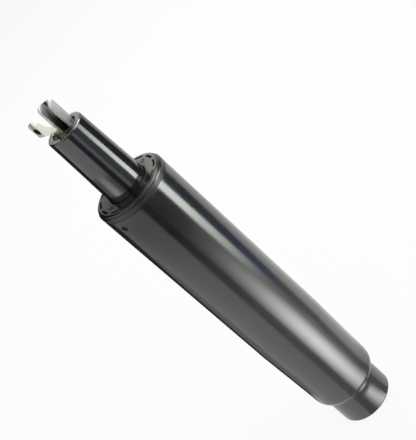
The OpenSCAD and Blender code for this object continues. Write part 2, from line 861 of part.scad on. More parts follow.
// Side outline of the lever: distance from the column's axis, height above the rim
module lever_outline() {
    r = lever_reach;
    h = lever_h;
    polygon([
        [pivot_reach + pivot_boss_r, -pivot_drop], [r - 6.8, 0.6], [r - 6.6, 3], [r - 5.4, 4.6],
        [r - 1.6, 6.4], [r, 7.6], [r, h - 1.2], [r - 0.4, h - 0.3], [r - 1.1, h],
        [r - 2.4, h - 0.5], [r - 3.2, h - 2.5], [r - 4.3, h - 6.8], [r - 5.6, h - 9.1],
        [r - 7.3, h - 10.6], [r - 7.9, h - 12.8], [r - 8.5, h - 15.4], [r - 9.1, 0],
        [pivot_reach - pivot_boss_r, nose_r - pivot_drop - 0.2],
        [0, nose_r - pivot_drop], [0, 0.6 - nose_r - pivot_drop],
        [pivot_reach - pivot_boss_r, 0.6 - nose_r - pivot_drop], [pivot_reach, -pivot_boss_r - pivot_drop]
    ]);
    translate([pivot_reach, -pivot_drop])
        circle(r = pivot_boss_r, $fn = 32);
    translate([0, -pivot_drop])
        circle(r = nose_r, $fn = 32);
}

// Front outline of the lever: a boss below, a narrow stem, and a wide head with round top corners above
module lever_front() {
    corner = lever_w * 0.4;
    translate([-boss_w / 2, -pocket_depth])
        square([boss_w, pocket_depth + pivot_boss_r - pivot_drop]);
    translate([-stem_w / 2, -pocket_depth])
        square([stem_w, pocket_depth + lever_h / 2]);
    translate([-lever_w / 2, shelf_h])
        square([lever_w, lever_h - shelf_h - corner]);
    translate([-lever_w / 2 + corner, shelf_h])
        square([lever_w - 2 * corner, lever_h - shelf_h]);
    for (side = [-1, 1])
        translate([side * (lever_w / 2 - corner), lever_h - corner])
            circle(r = corner, $fn = 32);
}

module release_lever() {
    color([0.9, 0.91, 0.84])
        lever_side()
            translate([0, 0, rim_z])
                difference() {
                    intersection() {
                        upright(lever_w)
                            lever_outline();
                        translate([-nose_r - cut, 0, 0])
                            rotate([90, 0, 90])
                                linear_extrude(height = lever_reach + nose_r + 2 * cut)
                                    lever_front();
                    }
                    // Bore for the pivot pin
                    translate([pivot_reach, lever_w, -pivot_drop])
                        rotate([90, 0, 0])
                            cylinder(h = 2 * lever_w, r = pivot_r + running_gap, $fn = 32);
                    // Seat for the cable's nipple
                    translate([lever_reach - nipple_depth, 0, nipple_h])
                        rotate([0, 90, 0])
                            cylinder(h = nipple_depth + cut, r = nipple_d / 2, $fn = 48);
                    // Slit for the cable's wire, open at the top
                    translate([pivot_reach, -slit_w / 2, nipple_h - slit_w / 2])
                        cube([lever_reach, slit_w, lever_h]);
                }
}

stand_tube();
bottom_plate();
guide_bush();
bearing_race_lower();
bearing_cage();
bearing_balls();
bearing_race_upper();
thrust_washer();
bumper();
piston_rod();
foot_washer();
rod_clip();
piston();
piston_seal();
spindle_tube();
rod_guide();
seal_washer();
rod_seal();
tube_seat();
gas_tube();
valve_body();
valve_body_seals();
valve_spacer();
valve_pin_seals();
valve_cap();
head_plug();
cable_bracket();
pivot_pin();
valve_pin();
release_lever();
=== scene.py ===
"""Looks of a swivelling gas lift column: its finishes, moulded and pressed head parts, and the studio."""

import math

import bmesh
import bpy
from mathutils import Matrix, Vector


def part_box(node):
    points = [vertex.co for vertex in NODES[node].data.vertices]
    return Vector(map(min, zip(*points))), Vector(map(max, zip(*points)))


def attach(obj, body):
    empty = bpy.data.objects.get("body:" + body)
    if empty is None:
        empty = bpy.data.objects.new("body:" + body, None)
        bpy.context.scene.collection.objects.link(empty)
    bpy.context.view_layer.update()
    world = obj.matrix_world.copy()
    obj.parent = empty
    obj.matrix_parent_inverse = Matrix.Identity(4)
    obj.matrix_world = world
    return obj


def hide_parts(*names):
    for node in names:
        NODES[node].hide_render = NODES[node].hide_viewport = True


bl_info = {
    "name": "Gas lift column",
    "version": (1, 0, 0),
    "blender": (4, 5, 0),
    "location": "3D View > Sidebar > Gas lift",
    "description": "Finishes, head parts and studio for a swivelling gas lift column",
    "category": "Object",
}

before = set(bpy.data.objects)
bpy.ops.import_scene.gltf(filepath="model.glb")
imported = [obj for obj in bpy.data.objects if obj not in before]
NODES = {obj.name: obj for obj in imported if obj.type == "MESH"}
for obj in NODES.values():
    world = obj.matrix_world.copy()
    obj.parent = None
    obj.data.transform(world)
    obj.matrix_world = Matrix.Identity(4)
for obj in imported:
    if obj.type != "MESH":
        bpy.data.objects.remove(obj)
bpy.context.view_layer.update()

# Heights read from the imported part, in metres
COLLAR_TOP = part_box("guide_bush")[1].z
RIM_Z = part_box("spindle_tube")[1].z

# The stand tube's punched dimples, and how high its bare, cut end reaches
DIMPLE_TURN = math.radians(157.0)
DIMPLE_Z = COLLAR_TOP - 0.011
DIMPLE_R = 0.0021
CUT_END = 0.0004

# Radii where the collar's face is still dulled by the spindle, and where it is fully polished
DULLED_R = 0.0158
POLISHED_R = 0.0178

# Height of the raised lip round an ejector mark, which is also half its thickness
MARK_LIP = 0.00022

# The lever's arm, and its nipple seat: height above the rim, radius, half the slit's width, and how far out
# its sunk floor lies
LEVER_TURN = math.radians(148.0)
NIPPLE_H = 0.012
SEAT_R = 0.00255
SLIT_HALF = 0.0005
SUNK_FROM = 0.0090
SUNK_TO = 0.0124

# Heights above the rim that the painted shade on the lever's stem lies between, out of the plug's pocket
STEM_LOW = 0.0005
STEM_HIGH = 0.0039

# The bracket's channel and the web behind it, along X and across Y, and how high the painted shade in the
# channel rises
CHANNEL_X = (-0.0012, 0.0056)
CHANNEL_Y = (-0.00395, 0.00135)
WEB_X = 0.0040
WEB_Y = (-0.0021, -0.0005)
CHANNEL_SHADE_HEIGHTS = (0.0055, 0.0120)

# Edges that turn by less than this angle aren't rounded, and points nearer than the gap are joined first
EDGE_ANGLE = math.radians(32.0)
WELD_GAP = 2e-6

# Colours of the places that are bare or worn, and of the painted shade in dimples, hollows and recesses
CUT_STEEL = (0.42, 0.41, 0.40, 1.0)
# Near-black painted shade for the stand tube's dimples
DIMPLE_SHADE_COLOUR = (0.022, 0.021, 0.024, 1.0)
ROLLED_ZINC = (0.80, 0.84, 0.86, 1.0)
SHEARED_ZINC = (0.64, 0.63, 0.56, 1.0)
LEVER_PAINTED_SHADE = (0.020, 0.017, 0.013, 1.0)
CHANNEL_PAINTED_SHADE = (0.018, 0.019, 0.020, 1.0)
MARK_PAINTED_SHADE = (0.004, 0.004, 0.004, 1.0)

# Most values of a noise texture lie between these two
NOISE_LOW = 0.3
NOISE_HIGH = 0.7


# Sizes and colours that a user would change

class PaintSettings(bpy.types.PropertyGroup):
    tube: bpy.props.FloatVectorProperty(
        name="Tube colour", description="Colour of the stand tube's paint", subtype="COLOR", size=4,
        min=0.0, max=1.0, default=(0.009, 0.009, 0.0092, 1.0))
    spindle: bpy.props.FloatVectorProperty(
        name="Spindle colour", description="Colour of the spindle's paint", subtype="COLOR", size=4,
        min=0.0, max=1.0, default=(0.008, 0.008, 0.009, 1.0))
    tube_roughness: bpy.props.FloatProperty(
        name="Tube roughness", description="Mean roughness of the stand tube's paint", subtype="FACTOR",
        min=0.02, max=0.8, default=0.20)
    spindle_roughness: bpy.props.FloatProperty(
        name="Spindle roughness", description="Mean roughness of the spindle's paint", subtype="FACTOR",
        min=0.02, max=0.8, default=0.16)


class CollarSettings(bpy.types.PropertyGroup):
    colour: bpy.props.FloatVectorProperty(
        name="Collar colour", description="Colour of the moulded collar", subtype="COLOR", size=4,
        min=0.0, max=1.0, default=(0.030, 0.030, 0.029, 1.0))
    mark_count: bpy.props.IntProperty(
        name="Ejector marks", description="Number of round marks that the moulding tool left on the face",
        min=1, max=8, default=4)
    mark_radius: bpy.props.FloatProperty(
        name="Mark radius", description="Radius of one ejector mark", unit="LENGTH",
        min=0.0005, max=0.003, default=0.0013)
    mark_circle: bpy.props.FloatProperty(
        name="Mark circle", description="Radius of the circle that the marks lie on", unit="LENGTH",
        min=0.015, max=0.0195, default=0.0174)
    mark_turn: bpy.props.FloatProperty(
        name="First mark", description="Direction of the first mark", subtype="ANGLE",
        default=math.radians(140.0))


class HeadSettings(bpy.types.PropertyGroup):
    lever: bpy.props.FloatVectorProperty(
        name="Lever colour", description="Colour of the moulded release lever", subtype="COLOR", size=4,
        min=0.0, max=1.0, default=(0.86, 0.87, 0.75, 1.0))
    bracket: bpy.props.FloatVectorProperty(
        name="Bracket colour", description="Colour of the bracket's zinc", subtype="COLOR", size=4,
        min=0.0, max=1.0, default=(0.48, 0.51, 0.515, 1.0))
    lever_edge: bpy.props.FloatProperty(
        name="Lever edge", description="Rounding of the lever's moulded edges", unit="LENGTH",
        min=0.0001, max=0.0006, default=0.0004)
    bracket_edge: bpy.props.FloatProperty(
        name="Bracket edge", description="Rounding of the bracket's cut edges", unit="LENGTH",
        min=0.00005, max=0.0004, default=0.00018)


class StudioSettings(bpy.types.PropertyGroup):
    background: bpy.props.FloatVectorProperty(
        name="Background", description="Colour of the floor and the background", subtype="COLOR", size=4,
        min=0.0, max=1.0, default=(1.0, 1.0, 1.0, 1.0))
    fill: bpy.props.FloatProperty(
        name="Fill", description="Strength of the even light from all sides", min=0.0, max=3.0, default=0.35)
    lens: bpy.props.FloatProperty(
        name="Lens", description="Focal length of the camera in millimetres", min=20.0, max=200.0,
        default=92.24)


# Node building

class Recipe:
    """A node tree under construction, with short calls for the nodes that the finishes share.

    Where an input is given by name, an underscore stands for a space.
    """

    def __init__(self, tree):
        self.tree = tree
        self.nodes = tree.nodes
        self.links = tree.links

    def add(self, kind, **settings):
        node = self.nodes.new(kind)
        for key, value in settings.items():
            setattr(node, key, value)
        return node

    def feed(self, socket, value):
        """Links a socket to another one, or sets its own value."""
        if isinstance(value, bpy.types.NodeSocket):
            self.links.new(value, socket)
        else:
            socket.default_value = value

    def fill(self, node, **inputs):
        """Feeds a node's inputs by name and gives back its first output."""
        for key, value in inputs.items():
            self.feed(node.inputs[key.replace("_", " ")], value)
        return node.outputs[0]

    def make(self, kind, **inputs):
        """Adds a node with these inputs and gives back its first output."""
        return self.fill(self.add(kind), **inputs)

    def math(self, operation, first, second=0.0):
        node = self.add("ShaderNodeMath", operation=operation)
        self.feed(node.inputs[0], first)
        self.feed(node.inputs[1], second)
        return node.outputs[0]

    def product(self, first, *others):
        for other in others:
            first = self.math("MULTIPLY", first, other)
        return first

    def length(self, first, second):
        """Length of the line that runs this far in two directions square to each other."""
        return self.math("SQRT", self.math("ADD", self.product(first, first), self.product(second, second)))

    def blend(self, factor, first, second):
        """Mixes two colours."""
        node = self.add("ShaderNodeMix", data_type="RGBA")
        self.feed(node.inputs[0], factor)
        self.feed(node.inputs[6], first)
        self.feed(node.inputs[7], second)
        return node.outputs[2]

    def span(self, value, low, high, to_low=0.0, to_high=1.0, smooth=False):
        """Maps a value from one range to another, clamped."""
        node = self.add("ShaderNodeMapRange", interpolation_type="SMOOTHSTEP" if smooth else "LINEAR")
        for socket, number in zip(node.inputs[:5], (value, low, high, to_low, to_high)):
            self.feed(socket, number)
        return node.outputs[0]

    def spread(self, noise, low=0.0, high=1.0):
        """Spreads most of a noise texture's values over a range."""
        return self.span(noise, NOISE_LOW, NOISE_HIGH, low, high)

    def above(self, value, edge, soft):
        """0 below an edge, rising to 1 over a soft width above it."""
        return self.span(value, edge, edge + soft)

    def below(self, value, edge, soft):
        """1 below an edge, falling to 0 over a soft width above it."""
        return self.span(value, edge, edge + soft, 1.0, 0.0)

    def parts(self, vector):
        """The three values of a vector."""
        node = self.add("ShaderNodeSeparateXYZ")
        self.feed(node.inputs[0], vector)
        return node.outputs

    def split(self, output):
        """Three values of the texture coordinate named output: Object for place, Normal for direction."""
        return self.parts(self.add("ShaderNodeTexCoord").outputs[output])

    def place(self, stretch=(1.0, 1.0, 1.0)):
        """Object coordinates, stretched along the axes."""
        coord = self.add("ShaderNodeTexCoord")
        return self.make("ShaderNodeMapping", Vector=coord.outputs["Object"], Scale=stretch)

    def noise(self, scale, detail=3.0, stretch=(1.0, 1.0, 1.0)):
        return self.make("ShaderNodeTexNoise", Vector=self.place(stretch), Scale=scale, Detail=detail)

    def axis_distance(self):
        """Distance from the column's axis."""
        x, y, _ = self.split("Object")
        return self.length(x, y)

    def rings(self, pitch):
        """Fine turning lines: noise that changes only with the distance from the axis and with height."""
        section = self.make("ShaderNodeCombineXYZ", X=self.axis_distance(), Z=self.split("Object")[2])
        return self.make("ShaderNodeTexNoise", Vector=section, Scale=1.0 / pitch, Detail=2.0)

    def bump(self, height, distance):
        return self.make("ShaderNodeBump", Height=height, Distance=distance)


class Finish(Recipe):
    """A material under construction, begun with the fixed values on its shader."""

    def __init__(self, name, **fixed):
        self.material = bpy.data.materials.new(name)
        self.material.use_nodes = True
        super().__init__(self.material.node_tree)
        self.shader = self.nodes["Principled BSDF"]
        self.show(**fixed)

    def show(self, **inputs):
        """Feeds the shader's inputs and gives back the material."""
        self.fill(self.shader, **inputs)
        return self.material

    def end_with(self, output):
        """Makes this output the surface and gives back the material."""
        self.links.new(output, self.nodes["Material Output"].inputs["Surface"])
        return self.material


def scaled(colour, factor):
    return tuple(channel * factor for channel in colour[:3]) + (1.0,)


# Finishes

def sprayed_paint(name, colour, roughness, peel, bare_foot_and_dimple_shade=False):
    """Sprayed black paint: a soft orange peel, faint cloudiness and rub marks.

    On the stand tube, bare steel shows at its cut foot, and the punched dimples are coloured near black as a
    painted shade.
    """
    r = Finish(name, IOR=1.56, Specular_IOR_Level=1.0)
    cloud = r.noise(scale=35.0, detail=4.0)
    rubs = r.noise(scale=260.0, detail=5.0, stretch=(1.0, 1.0, 0.06))
    paint = r.blend(r.spread(cloud), scaled(colour, 0.8), scaled(colour, 1.25))
    rubbed = r.span(rubs, 0.3, 0.75, to_low=roughness - 0.03, to_high=roughness + 0.05)
    gloss = r.math("ADD", rubbed, r.spread(cloud, -0.015, 0.02))
    if bare_foot_and_dimple_shade:
        ragged = r.product(r.span(r.noise(scale=700.0, detail=3.0), 0.35, 0.65), CUT_END * 0.6)
        height = r.math("ADD", r.split("Object")[2], ragged)
        bare = r.below(height, CUT_END * 0.9, CUT_END * 0.2)
        # The dimples get a near-black painted shade, standing in for the shade in the recess
        punched = in_dimples(r)
        paint = r.blend(punched, r.blend(bare, paint, CUT_STEEL), DIMPLE_SHADE_COLOUR)
        gloss = r.math("ADD", gloss, r.product(bare, 0.2))
        r.show(Metallic=r.math("MAXIMUM", bare, punched))
    grain = r.product(r.noise(scale=900.0, detail=2.0), 0.25)
    skin = r.math("ADD", r.noise(scale=peel, detail=2.0), grain)
    return r.show(Base_Color=paint, Roughness=gloss, Normal=r.bump(skin, distance=0.000012))


def in_dimples(r):
    """1 inside the two punched dimples of the stand tube, 0 outside."""
    x, y, z = r.split("Object")
    across = r.math("SUBTRACT", r.product(y, math.cos(DIMPLE_TURN)), r.product(x, math.sin(DIMPLE_TURN)))
    away = r.length(across, r.math("SUBTRACT", z, DIMPLE_Z))
    return r.below(away, DIMPLE_R * 0.92, DIMPLE_R * 0.10)


def moulded_nylon(name, colour, face=1.0, polish=0.0):
    """Glass-filled nylon with fine light speckles.

    face scales the colour of the parts that face up, which is painted shade where it is below 1, and polish
    how much glossier than the sides they are.
    """
    r = Finish(name, IOR=1.56, Specular_IOR_Level=0.5)
    upward = r.span(r.split("Normal")[2], 0.30, 0.60, smooth=True)
    speckle = r.span(r.noise(scale=2600.0, detail=2.0), 0.56, 0.72)
    cloud = r.noise(scale=120.0, detail=3.0)
    base = r.blend(r.spread(cloud), scaled(colour, 0.8), scaled(colour, 1.2))
    # Parts that face up are coloured by face: painted shade where face is below 1
    base = r.blend(upward, base, scaled(colour, face))
    base = r.blend(r.product(speckle, 0.6 * face), base, scaled(colour, 5.0 * face))
    kept = r.span(r.axis_distance(), DULLED_R, POLISHED_R, to_low=0.35, smooth=True)
    roughness = r.math("SUBTRACT", r.spread(cloud, 0.36, 0.46), r.product(upward, polish, kept))
    skin = r.noise(scale=1700.0, detail=3.0)
    return r.show(Base_Color=base, Roughness=roughness, Normal=r.bump(skin, distance=0.00003))


def cream_acetal(name, colour):
    """Moulded lever plastic: a painted warm glow towards its stem, satin, with faint flow lines, and painted
    shade in its nipple seat, its slit and low on its stem.
    """
    r = Finish(name, IOR=1.48, Specular_IOR_Level=0.5)
    # A painted warm glow: the lever is coloured yellower and a little brighter low towards the rim
    warm = (min(1.0, colour[0] * 1.04), colour[1] * 0.99, colour[2] * 0.78, 1.0)
    low = r.span(r.split("Object")[2], RIM_Z - 0.002, RIM_Z + 0.010, to_low=1.0, to_high=0.0, smooth=True)
    flow = r.noise(scale=420.0, detail=3.0, stretch=(1.0, 1.0, 0.3))
    body = r.blend(low, colour, warm)
    body = r.blend(r.span(flow, 0.35, 0.7, to_high=0.12), body, scaled(colour, 0.82))
    return r.show(
        # Painted shade darkens the nipple seat, the slit and the low stem
        Base_Color=r.blend(lever_painted_shade(r), body, LEVER_PAINTED_SHADE),
        Roughness=r.spread(flow, 0.34, 0.44),
        Normal=r.bump(r.noise(scale=1500.0, detail=2.0), distance=0.00001))


def lever_painted_shade(r):
    """How much painted shade darkens the lever's nipple seat and its slit, and low on its stem."""
    turned = r.add("ShaderNodeVectorRotate", rotation_type="Z_AXIS")
    reach, side, z = r.parts(r.fill(turned, Vector=r.place(), Angle=-LEVER_TURN))
    up = r.math("SUBTRACT", z, RIM_Z)
    from_seat = r.length(side, r.math("SUBTRACT", up, NIPPLE_H))
    seat = r.below(from_seat, SEAT_R, 0.00015)
    slit = r.product(r.below(r.math("ABSOLUTE", side), SLIT_HALF, 0.0001), r.above(up, NIPPLE_H, 0.001))
    sunk = r.product(r.below(reach, SUNK_TO, 0.0004), r.above(reach, SUNK_FROM, 0.0005))
    hollows = r.product(r.math("MAXIMUM", seat, slit), sunk, 0.96)
    stem = r.span(up, STEM_LOW, STEM_HIGH + 0.0003, to_low=0.93, to_high=0.35, smooth=True)
    return r.math("MAXIMUM", hollows, r.product(stem, r.below(up, STEM_HIGH, 0.0002)))


def zinc_sheet(name, colour):
    """Zinc plated sheet: bluish rolled faces with a faint bloom, warm sheared edges with drag lines, and
    painted shade in the channel.
    """
    r = Finish(name, Metallic=0.85, IOR=1.6)
    x, _, z = r.split("Normal")
    sheared = r.math("MAXIMUM", r.span(r.product(x, -1.0), 0.6, 0.8), r.span(z, 0.5, 0.7))
    bloom = r.noise(scale=900.0, detail=4.0)
    rolled = r.noise(scale=500.0, detail=3.0, stretch=(1.0, 1.0, 0.1))
    drag = r.noise(scale=2600.0, detail=2.0, stretch=(0.12, 1.0, 1.0))
    zinc = r.blend(r.span(bloom, 0.35, 0.7), colour, scaled(colour, 0.78))
    zinc = r.blend(r.span(rolled, 0.4, 0.7, to_high=0.35), zinc, ROLLED_ZINC)
    zinc = r.blend(sheared, zinc, SHEARED_ZINC)
    return r.show(
        # The channel's colour carries a painted shade, darker towards its bottom and on the web
        Base_Color=r.blend(channel_painted_shade(r, bloom), zinc, CHANNEL_PAINTED_SHADE),
        Roughness=r.math("ADD", r.spread(bloom, 0.33, 0.45), r.product(sheared, 0.12)),
        Normal=r.bump(r.math("ADD", drag, bloom), distance=0.000012))


def channel_painted_shade(r, bloom):
    """How much painted shade darkens the bracket's channel: low down with a ragged edge, and on the web."""
    x, y, z = r.split("Object")
    inside = r.product(
        r.above(y, CHANNEL_Y[0], 0.0001), r.below(y, CHANNEL_Y[1] - 0.0001, 0.0001),
        r.above(x, CHANNEL_X[0], 0.0004), r.below(x, CHANNEL_X[1], 0.0004))
    web = r.product(
        r.above(y, WEB_Y[0], 0.0004), r.below(y, WEB_Y[1], 0.0008), r.above(x, WEB_X, 0.0005), 0.93)
    low, high = (RIM_Z + height for height in CHANNEL_SHADE_HEIGHTS)
    ragged = r.math("ADD", z, r.product(bloom, 0.004))
    depth = r.span(ragged, low, high, to_low=0.97, to_high=0.0, smooth=True)
    return r.product(inside, r.math("MAXIMUM", depth, web))


def turned_metal(name, colour, roughness, pitch=0.00018, bloom=0.12):
    """Turned or ground metal: fine rings about the axis, with a little dulling in clouds."""
    r = Finish(name, Metallic=1.0)
    lines = r.rings(pitch)
    dulled = r.span(r.noise(scale=220.0, detail=3.0), 0.3, 0.75, to_high=bloom)
    return r.show(
        Base_Color=r.blend(dulled, colour, scaled(colour, 0.55)),
        Roughness=r.spread(lines, roughness * 0.75, roughness * 1.3),
        Normal=r.bump(lines, distance=0.000006))


def cast_metal(name, colour):
    """Dark die casting: grainy skin with a few bright rubbed grains."""
    r = Finish(name, Metallic=0.35, IOR=1.5)
    grain = r.noise(scale=1400.0, detail=4.0)
    rubbed = r.product(r.span(r.noise(scale=500.0, detail=4.0), 0.58, 0.75), 0.6)
    return r.show(
        Base_Color=r.blend(rubbed, colour, scaled(colour, 4.0)),
        Roughness=r.spread(grain, 0.42, 0.6),
        Normal=r.bump(grain, distance=0.00004))


def nitrile(name, colour):
    """Black rubber: dry, with a faint bloom."""
    r = Finish(name, IOR=1.5, Specular_IOR_Level=0.4)
    bloom = r.noise(scale=180.0, detail=4.0)
    return r.show(
        Base_Color=r.blend(r.span(bloom, 0.35, 0.75, to_high=0.5), colour, scaled(colour, 2.2)),
        Roughness=r.spread(bloom, 0.55, 0.72),
        Normal=r.bump(r.noise(scale=1200.0, detail=3.0), distance=0.00002))


def dress(material, *names):
    """Gives CAD nodes their finish."""
    for name in names:
        for slot in NODES[name].material_slots:
            slot.material = material


# Mesh building

def linked(name, data):
    """A new object in the scene that holds this data."""
    thing = bpy.data.objects.new(name, data)
    bpy.context.collection.objects.link(thing)
    return thing


def keep(piece, body, slot, *replaced):
    """Says which body a finished piece rides on and the nodes that it stands for, which it hides. slot is not
    used.
    """
    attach(piece, body)
    if replaced:
        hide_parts(*replaced)


def edged_copy(node, name, material, width, segments):
    """The node's solid as one welded mesh with its sharp edges rounded."""
    welded = bmesh.new()
    welded.from_mesh(NODES[node].data)
    bmesh.ops.remove_doubles(welded, verts=welded.verts, dist=WELD_GAP)
    mesh = bpy.data.meshes.new(name)
    welded.to_mesh(mesh)
    welded.free()
    mesh.materials.append(material)
    mesh.shade_smooth()
    piece = linked(name, mesh)
    rounding = piece.modifiers.new("Edge rounding", "BEVEL")
    rounding.width = width
    rounding.segments = segments
    rounding.limit_method = "ANGLE"
    rounding.angle_limit = EDGE_ANGLE
    rounding.harden_normals = True
    return piece


def bake_nodes(piece):
    """Turns a piece made by Geometry Nodes into a plain mesh and takes its modifier off."""
    graph = bpy.context.evaluated_depsgraph_get()
    mesh = bpy.data.meshes.new_from_object(piece.evaluated_get(graph))
    piece.modifiers.clear()
    piece.data = mesh
    return piece


def tree_with(name, **inputs):
    """A Geometry Nodes tree with geometry in and out, and an input of the given socket type for each name."""
    tree = bpy.data.node_groups.new(name, "GeometryNodeTree")
    tree.interface.new_socket("Geometry", in_out="INPUT", socket_type="NodeSocketGeometry")
    for label, kind in inputs.items():
        tree.interface.new_socket(label, in_out="INPUT", socket_type=kind)
    tree.interface.new_socket("Geometry", in_out="OUTPUT", socket_type="NodeSocketGeometry")
    return Recipe(tree)


def set_inputs(modifier, tree, **values):
    """Sets a modifier's inputs through their socket identifiers, found by name."""
    for item in tree.interface.items_tree:
        if item.in_out == "INPUT" and item.name in values:
            modifier[item.identifier] = values[item.name]


def ejector_mark_tree(shade_material):
    """A tree that sets round lips evenly on a circle on the collar's face, in a near-black material that is
    painted shade.
    """
    number = "NodeSocketFloat"
    r = tree_with("Ejector marks", Count="NodeSocketInt", Circle=number, Mark=number, Turn=number)
    given = r.add("NodeGroupInput").outputs
    places = r.make("GeometryNodeMeshCircle", Vertices=given["Count"], Radius=given["Circle"])
    path = r.make("GeometryNodeCurvePrimitiveCircle", Resolution=40, Radius=given["Mark"])
    section = r.make("GeometryNodeCurvePrimitiveCircle", Resolution=10, Radius=MARK_LIP)
    lip = r.make("GeometryNodeCurveToMesh", Curve=path, Profile_Curve=section)
    copies = r.make("GeometryNodeInstanceOnPoints", Points=places, Instance=lip)
    turn = r.make("ShaderNodeCombineXYZ", Z=given["Turn"])
    raised = r.make(
        "GeometryNodeTransform", Geometry=copies, Rotation=turn, Translation=(0.0, 0.0, COLLAR_TOP))
    whole = r.make("GeometryNodeRealizeInstances", Geometry=raised)
    finished = r.make("GeometryNodeSetMaterial", Geometry=whole, Material=shade_material)
    r.links.new(finished, r.add("NodeGroupOutput").inputs[0])
    return r.tree


# Stage

# The camera's direction round the column, its place and its own right and down
CAMERA_ANGLE = math.radians(210.0)
CAMERA_PLACE = Vector((-0.519832, -0.300125, 0.499617))
CAMERA_RIGHT = Vector((0.0151059, -0.7579676, -0.6521173))
CAMERA_DOWN = Vector((-0.6305369, 0.4989454, -0.5945392))
SENSOR_WIDTH = 36.0
NEAREST = 0.01
FARTHEST = 20.0

# Radii of the cards: near ones for upright faces, and far ones that only tilted faces mirror
NEAR = 0.062
FAR = 0.5

# Heights where the cards for the stand tube end and those for the spindle begin, and where the latter end,
# with the spindle down and with it up
TUBE_END = 0.213
SPINDLE_START = 0.222
CARD_TOP = 0.276
RAISED_TOP = 0.42

# Height of the cards on the floor, and the radius between those for the neck and those for the shoulder
FLOOR_CARD_H = 0.0004
SHOULDER_R = 0.041

# Number of flat strips that a bent card is made of
CARD_STEPS = 24

# Half the floor's side, how dark its paper is, and how much of it glows where it is seen
FLOOR_HALF = 4.0
PAPER_SHADE = 0.92
PAPER_GLOW = 0.9


def stage_mesh(name, points, faces, material):
    """A studio card that only reflections see."""
    mesh = bpy.data.meshes.new(name)
    mesh.from_pydata(points, [], faces)
    mesh.materials.append(material)
    card = linked(name, mesh)
    for ray in ("camera", "diffuse", "shadow", "transmission", "volume_scatter"):
        setattr(card, "visible_" + ray, False)


def bent_card(name, material, *rows):
    """A card bent round the column.

    A row is a radius, a height and two edges, in degrees right of the camera.
    """
    points, faces = [], []
    for radius, z, first, last in rows:
        for i in range(CARD_STEPS + 1):
            angle = CAMERA_ANGLE + math.radians(first + (last - first) * i / CARD_STEPS)
            points.append((radius * math.cos(angle), radius * math.sin(angle), z))
    for row in range(len(rows) - 1):
        for i in range(CARD_STEPS):
            a = row * (CARD_STEPS + 1) + i
            b = a + CARD_STEPS + 1
            faces.append((a, a + 1, b + 1, b))
    stage_mesh(name, points, faces, material)


def ring_card(name, material, radius, *rows):
    """An upright bent card. A row is a height and the card's two edges."""
    bent_card(name, material, *((radius, *row) for row in rows))


def floor_card(name, material, *rows):
    """A card on the floor. A row is a radius and the card's two edges."""
    bent_card(name, material, *((radius, FLOOR_CARD_H, first, last) for radius, first, last in rows))


def back_card(name, material, behind, right, top, bottom):
    """An upright flat card behind the column, from its middle to a distance right of it."""
    away = Vector((-math.cos(CAMERA_ANGLE), -math.sin(CAMERA_ANGLE)))
    across = Vector((-math.sin(CAMERA_ANGLE), math.cos(CAMERA_ANGLE)))
    inner = away * behind
    outer = inner + across * right
    corners = [(inner, bottom), (outer, bottom), (outer, top), (inner, top)]
    points = [(place.x, place.y, height) for place, height in corners]
    stage_mesh(name, points, [(0, 1, 2, 3)], material)


def even(level):
    """Stops of a level that is the same at every height."""
    return (0.0, level), (1.0, level)


def level_by_height(r, stops):
    """A level that runs straight from one stop, a height and its level, to the next."""
    z = r.split("Object")[2]
    level = stops[0][1]
    for (low, before), (high, after) in zip(stops, stops[1:]):
        level = r.math("ADD", level, r.span(z, low, high, 0.0, after - before))
    return level


def bell_by_turn(r, middle, half):
    """A soft bell across a card: 1 at its middle, 0 where it is half degrees away."""
    x, y, _ = r.split("Object")
    angle = CAMERA_ANGLE + math.radians(middle)
    cos, sin = math.cos(angle), math.sin(angle)
    ahead = r.math("ADD", r.product(x, cos), r.product(y, sin))
    aside = r.math("SUBTRACT", r.product(y, cos), r.product(x, sin))
    turn = r.math("ABSOLUTE", r.math("ARCTAN2", aside, ahead))
    return r.span(turn, 0.0, math.radians(half), 1.0, 0.0, smooth=True)


def glow(name, colour, stops, crest=None, middle=0.0, half=0.0):
    """An emitting material. Stops give its level by height, and crest has those of a bell added across it."""
    r = Finish(name)
    r.nodes.remove(r.shader)
    level = level_by_height(r, stops)
    if crest:
        level = r.math("ADD", level, r.product(bell_by_turn(r, middle, half), level_by_height(r, crest)))
    return r.end_with(r.make("ShaderNodeEmission", Color=(*colour, 1.0), Strength=level))


def front_cards():
    """The tube's and the spindle's broad light in front, with the darker line left of it."""
    line = glow("card_line", (1.0, 1.0, 1.1), ((0.0, 0.45), (0.10, 0.4), (0.19, 0.05)))
    ring_card(
        "card_front_line", line, NEAR,
        (0.0, -25.0, -4.0), (0.10, -22.0, -2.0), (TUBE_END, -19.0, -2.0),
        (SPINDLE_START, -21.5, 0.0), (CARD_TOP, -21.5, 0.0))
    front = glow(
        "card_front", (1.0, 1.0, 0.99), ((0.10, 0.5), (0.155, 0.4), (0.20, 0.13)),
        crest=((0.0, 4.6), (0.035, 5.8), (0.07, 5.2), (0.115, 2.0), (0.155, 0.4), (0.18, 0.0)),
        middle=20.5, half=33.0)
    ring_card(
        "card_front_right", front, NEAR,
        (0.0, -4.0, 52.0), (0.07, -2.0, 48.0), (0.12, -2.0, 41.0), (0.218, -2.0, 40.5))
    high = glow("card_front_high", (0.95, 1.0, 1.15), even(0.26), crest=even(0.6), middle=8.0, half=11.0)
    ring_card("card_front_high", high, NEAR, (0.218, 0.0, 45.0), (CARD_TOP, 0.0, 45.0))


